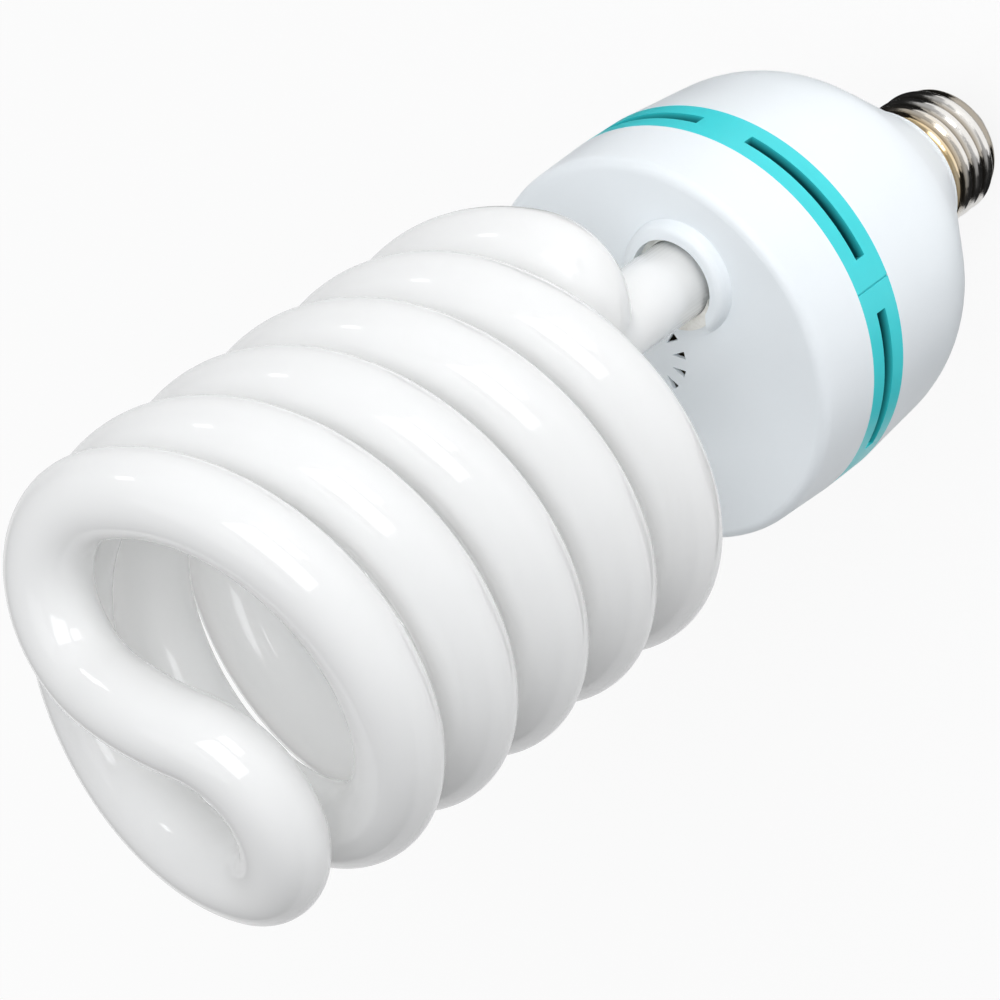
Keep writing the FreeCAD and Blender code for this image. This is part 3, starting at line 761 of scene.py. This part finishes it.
@dataclass
class Ballast(DressedNodes):
    """Electronics inside the housing, some of which shows through the slots."""

    finishes: tuple[tuple[str, Finish], ...] = (
        ("circuit_board", BOARD_LAMINATE),
        ("bulk_capacitor", BLACK_PLASTIC),
        ("choke_core", FERRITE),
        ("choke_bobbin", BLACK_PLASTIC),
        ("choke_winding", COPPER_WIRE),
        ("filter_core", FERRITE),
        ("filter_winding", COPPER_WIRE),
        ("driver_toroid", FERRITE),
        ("toroid_coils", COPPER_WIRE),
        ("heat_sink", SINK_ALUMINIUM),
        ("power_transistors", BLACK_PLASTIC),
        ("transistor_screws", STEEL),
        ("film_capacitors", RED_PLASTIC),
        ("rectifier_diodes", BLACK_PLASTIC),
        ("resistors", RESISTOR_BODY),
        ("input_fuse", RESISTOR_BODY),
        ("preheat_thermistor", RESISTOR_BODY),
        ("live_lead", LEAD_SLEEVE),
        ("neutral_lead", LEAD_SLEEVE),
        ("filament_leads", STEEL),
    )


@dataclass(frozen=True)
class Softbox:
    """Square area lamp that faces a point of the axis."""

    name: str
    way: Triple
    distance: float
    size: float
    watts: float
    tint: Colour = WHITE
    spread: float = math.pi
    aim_z: float = 0.14
    mirrored: bool = True

    def build(self) -> None:
        """Hangs the lamp so that it faces its point."""
        lamp = bpy.data.lights.new(self.name, "AREA")
        lamp.shape = "SQUARE"
        lamp.size = self.size
        lamp.energy = self.watts
        lamp.color = self.tint
        lamp.spread = self.spread
        holder = bpy.data.objects.new(self.name, lamp)
        holder.visible_camera = False
        holder.visible_glossy = self.mirrored
        way = Vector(self.way).normalized()
        holder.location = UP * self.aim_z + way * self.distance
        holder.rotation_euler = way.to_track_quat("Z", "Y").to_euler()
        bpy.context.scene.collection.objects.link(holder)


@dataclass(frozen=True)
class MirrorCard:
    """Card that leans away from the cap's foot, black or white, which only bright surfaces mirror.

    Its corners are in millimetres.
    """

    name: str
    corners: tuple[Triple, ...]
    strength: float

    def build(self) -> None:
        """Sets the card up and keeps it out of everything but reflections."""
        mesh = bmesh.new()
        mesh.faces.new([mesh.verts.new(Vector(corner) * MM) for corner in self.corners])
        paint = bpy.data.materials.new(f"{self.name}_paper")
        paint.use_nodes = True
        graph = NodeGraph(paint.node_tree)
        graph.show(graph.glow(self.strength))
        card = Workshop.shape(self.name, mesh, paint)
        card.visible_camera = False
        card.visible_diffuse = False
        card.visible_shadow = False


@dataclass
class Studio:
    """Floor, soft light and the camera at the photograph's place."""

    floor_half: float = 4.0
    floor_drop: float = 0.5 * MM
    floor_tone: float = 0.92
    floor_glow: float = 1.0
    floor_seen: float = 0.88
    floor_mirrored: float = 0.3
    bright_way: Triple = (0.10, -0.72, 0.68)
    bright_span: Span = (-0.9, 0.7)
    dim_to_bright: Span = (0.06, 0.445)
    surround_tint: Colour = (0.985, 0.99, 1.0)
    white_bounces: int = 12
    camera_place: Triple = (-0.230137, -0.487912, 0.618590)
    camera_turn: Triple = (-34.18398, 37.85814, -162.58428)
    camera_lens: float = 149.1655
    camera_sensor: float = 36.0
    camera_clip: Span = (0.01, 50.0)
    lamps: tuple[Softbox, ...] = (
        Softbox("key_softbox", way=(-0.18, -0.71, 0.68), distance=1.35, size=0.8, watts=6.7,
                tint=(0.96, 0.98, 1.0)),
        Softbox("top_softbox", way=(0.10, -0.10, 1.0), distance=1.4, size=0.8, watts=1.2),
        Softbox("back_softbox", way=(0.45, 0.85, 0.36), distance=1.35, size=0.7, watts=5.2,
                mirrored=False),
        Softbox("low_softbox", way=(-0.12, -0.97, 0.20), distance=1.2, size=0.4, watts=2.3),
        Softbox("edge_softbox", way=(0.75, -0.45, 0.50), distance=1.2, size=0.14, watts=0.3),
        Softbox("housing_softbox", way=(-0.02, -1.0, -0.02), distance=0.9, size=0.12, watts=0.009,
                spread=math.radians(12.0), aim_z=0.05),
    )
    cards: tuple[MirrorCard, ...] = (
        MirrorCard("left_card", strength=0.015, corners=(
            (4.0, -15.0, 0.2), (22.0, 4.0, 0.2), (110.0, 40.0, 34.0), (70.0, -80.0, 34.0))),
        MirrorCard("right_card", strength=0.015, corners=(
            (-14.0, -8.0, 0.2), (-14.0, 10.0, 0.2), (-110.0, 80.0, 40.0), (-110.0, -30.0, 40.0))),
        MirrorCard("front_card", strength=1.0, corners=(
            (-14.0, -9.0, 0.2), (3.0, -16.0, 0.2), (50.0, -110.0, 50.0), (-110.0, -50.0, 50.0))),
    )

    def floor(self) -> None:
        """Pale floor: white to the camera and in reflections, with the lamp's shadow kept."""
        mesh = bmesh.new()
        bmesh.ops.create_grid(mesh, x_segments=1, y_segments=1, size=self.floor_half,
                              matrix=Matrix.Translation(UP * -self.floor_drop))
        paint = bpy.data.materials.new("floor_paper")
        paint.use_nodes = True
        graph = NodeGraph(paint.node_tree)
        matt = graph.add("ShaderNodeBsdfDiffuse")
        matt.inputs["Color"].default_value = (self.floor_tone, self.floor_tone, self.floor_tone, 1.0)
        path = graph.add("ShaderNodeLightPath").outputs
        mirrored = graph.lifted(path["Is Glossy Ray"], self.floor_mirrored, path["Is Transmission Ray"])
        share = graph.lifted(path["Is Camera Ray"], self.floor_seen, mirrored)
        mix = graph.add("ShaderNodeMixShader")
        graph.wire(share, mix.inputs["Fac"])
        graph.wire(matt.outputs["BSDF"], mix.inputs[1])
        graph.wire(graph.glow(self.floor_glow), mix.inputs[2])
        graph.show(mix.outputs["Shader"])
        Workshop.shape("studio_floor", mesh, paint)

    def sky(self) -> None:
        """Soft surround, bright on the key side and dim on the other."""
        world = bpy.data.worlds.new("studio_surround")
        bpy.context.scene.world = world
        world.use_nodes = True
        graph = NodeGraph(world.node_tree)
        way = graph.add("ShaderNodeTexCoord").outputs["Generated"]
        lean = graph.add("ShaderNodeVectorMath", operation="DOT_PRODUCT")
        lean.inputs[1].default_value = Vector(self.bright_way).normalized()
        graph.wire(way, lean.inputs[0])
        level = graph.between(lean.outputs["Value"], self.bright_span, self.dim_to_bright,
                              Easing.SMOOTH)
        light = graph.add("ShaderNodeBackground")
        light.inputs["Color"].default_value = (*self.surround_tint, 1.0)
        graph.wire(level, light.inputs["Strength"])
        graph.show(light.outputs["Background"], "ShaderNodeOutputWorld")

    def camera(self) -> None:
        """Camera at the photograph's place."""
        data = bpy.data.cameras.new("photo_camera")
        data.lens = self.camera_lens
        data.sensor_width = self.camera_sensor
        data.clip_start, data.clip_end = self.camera_clip
        holder = bpy.data.objects.new("photo_camera", data)
        holder.location = self.camera_place
        holder.rotation_euler = Euler([math.radians(angle) for angle in self.camera_turn], "XYZ")
        bpy.context.scene.collection.objects.link(holder)
        bpy.context.scene.camera = holder

    def build(self) -> None:
        """Sets the stage."""
        self.floor()
        for card in self.cards:
            card.build()
        self.sky()
        for lamp in self.lamps:
            lamp.build()
        self.camera()
        bpy.context.scene.cycles.diffuse_bounces = self.white_bounces
        bpy.context.scene.view_settings.view_transform = "Standard"


def main() -> None:
    """Builds the lamp's pieces and the stage in order."""
    logging.basicConfig(level=logging.INFO, format="%(name)s: %(message)s")
    DischargeTube().build()
    Housing().build()
    ScrewCap().build()
    Ballast().build()
    Studio().build()


if __name__ == "__main__":
    main()
